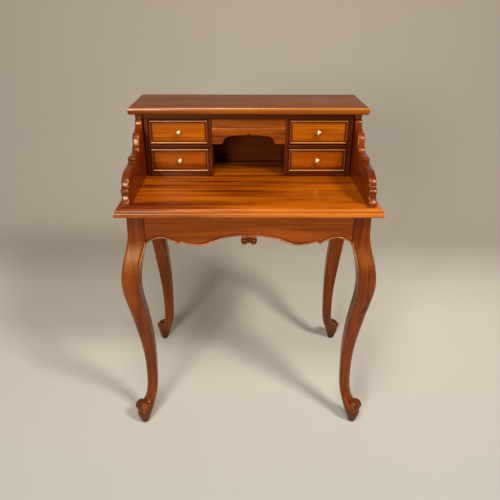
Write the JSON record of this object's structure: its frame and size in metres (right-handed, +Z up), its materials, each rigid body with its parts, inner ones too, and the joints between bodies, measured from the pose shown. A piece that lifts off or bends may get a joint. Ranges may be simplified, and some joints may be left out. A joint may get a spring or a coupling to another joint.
{
  "type": "bonheur du jour",
  "caption": "Small writing desk on cabriole legs, with a case of small drawers and a pigeonhole between scrolled sides under a moulded shelf.",
  "frame": {"origin": "on the floor, under the middle of the whole desk's bounding box", "axes": "+Z up, the front with the writing surface faces -Y, +X to the right of a person facing the front"},
  "size_m": [0.7256, 0.5136, 0.97],
  "materials": {
    "leg_mahogany": "lacquered mahogany, glossy, reddish brown",
    "apron_mahogany": "lacquered mahogany, glossy, reddish brown",
    "top_mahogany": "lacquered mahogany, glossy, orange brown with dark streaks",
    "gallery_mahogany": "lacquered mahogany, glossy, reddish brown",
    "case_mahogany": "lacquered mahogany, glossy, dark red brown",
    "valance_mahogany": "lacquered mahogany with a carved line, glossy",
    "front_mahogany": "lacquered mahogany, glossy, figured",
    "bead_mahogany": "lacquered mahogany bead, glossy",
    "drawer_lining": "unstained pale hardwood, waxed",
    "polished_brass": "polished, lacquered",
    "screw_steel": "plain steel, slightly dulled"
  },
  "bodies": {
    "desk": {"leg_front_left": "leg_mahogany", "leg_front_right": "leg_mahogany", "leg_rear_left": "leg_mahogany", "leg_rear_right": "leg_mahogany", "apron_front": "apron_mahogany", "apron_left": "apron_mahogany", "apron_right": "apron_mahogany", "apron_rear": "apron_mahogany", "corner_blocks": "drawer_lining", "top_screws": "screw_steel", "desk_top": "top_mahogany", "gallery_side_left": "gallery_mahogany", "gallery_side_right": "gallery_mahogany", "gallery_shelf": "top_mahogany", "back_panel": "gallery_mahogany", "gallery_screws": "screw_steel", "shelf_dowels": "drawer_lining", "case_end_left": "case_mahogany", "case_end_right": "case_mahogany", "case_divider_left": "case_mahogany", "case_divider_right": "case_mahogany", "drawer_rail_left": "case_mahogany", "drawer_rail_right": "case_mahogany", "case_bottom_left": "case_mahogany", "case_bottom_right": "case_mahogany", "case_top": "case_mahogany", "valance": "valance_mahogany", "drawer_stops": "drawer_lining", "case_screws": "screw_steel"},
    "drawer_lower_left": {"drawer_lower_left_front": "front_mahogany", "drawer_lower_left_cockbead": "bead_mahogany", "drawer_lower_left_knob": "polished_brass", "drawer_lower_left_side_left": "drawer_lining", "drawer_lower_left_side_right": "drawer_lining", "drawer_lower_left_back": "drawer_lining", "drawer_lower_left_bottom": "drawer_lining"},
    "drawer_lower_right": {"drawer_lower_right_front": "front_mahogany", "drawer_lower_right_cockbead": "bead_mahogany", "drawer_lower_right_knob": "polished_brass", "drawer_lower_right_side_left": "drawer_lining", "drawer_lower_right_side_right": "drawer_lining", "drawer_lower_right_back": "drawer_lining", "drawer_lower_right_bottom": "drawer_lining"},
    "drawer_upper_left": {"drawer_upper_left_front": "front_mahogany", "drawer_upper_left_cockbead": "bead_mahogany", "drawer_upper_left_knob": "polished_brass", "drawer_upper_left_side_left": "drawer_lining", "drawer_upper_left_side_right": "drawer_lining", "drawer_upper_left_back": "drawer_lining", "drawer_upper_left_bottom": "drawer_lining"},
    "drawer_upper_right": {"drawer_upper_right_front": "front_mahogany", "drawer_upper_right_cockbead": "bead_mahogany", "drawer_upper_right_knob": "polished_brass", "drawer_upper_right_side_left": "drawer_lining", "drawer_upper_right_side_right": "drawer_lining", "drawer_upper_right_back": "drawer_lining", "drawer_upper_right_bottom": "drawer_lining"}
  },
  "joints": [
    {"name": "drawer_lower_left_slide", "type": "slide", "parent": "desk", "child": "drawer_lower_left", "axis": [0, -1, 0], "range_m": [0, 0.12]},
    {"name": "drawer_lower_right_slide", "type": "slide", "parent": "desk", "child": "drawer_lower_right", "axis": [0, -1, 0], "range_m": [0, 0.12]},
    {"name": "drawer_upper_left_slide", "type": "slide", "parent": "desk", "child": "drawer_upper_left", "axis": [0, -1, 0], "range_m": [0, 0.12]},
    {"name": "drawer_upper_right_slide", "type": "slide", "parent": "desk", "child": "drawer_upper_right", "axis": [0, -1, 0], "range_m": [0, 0.12]}
  ]
}
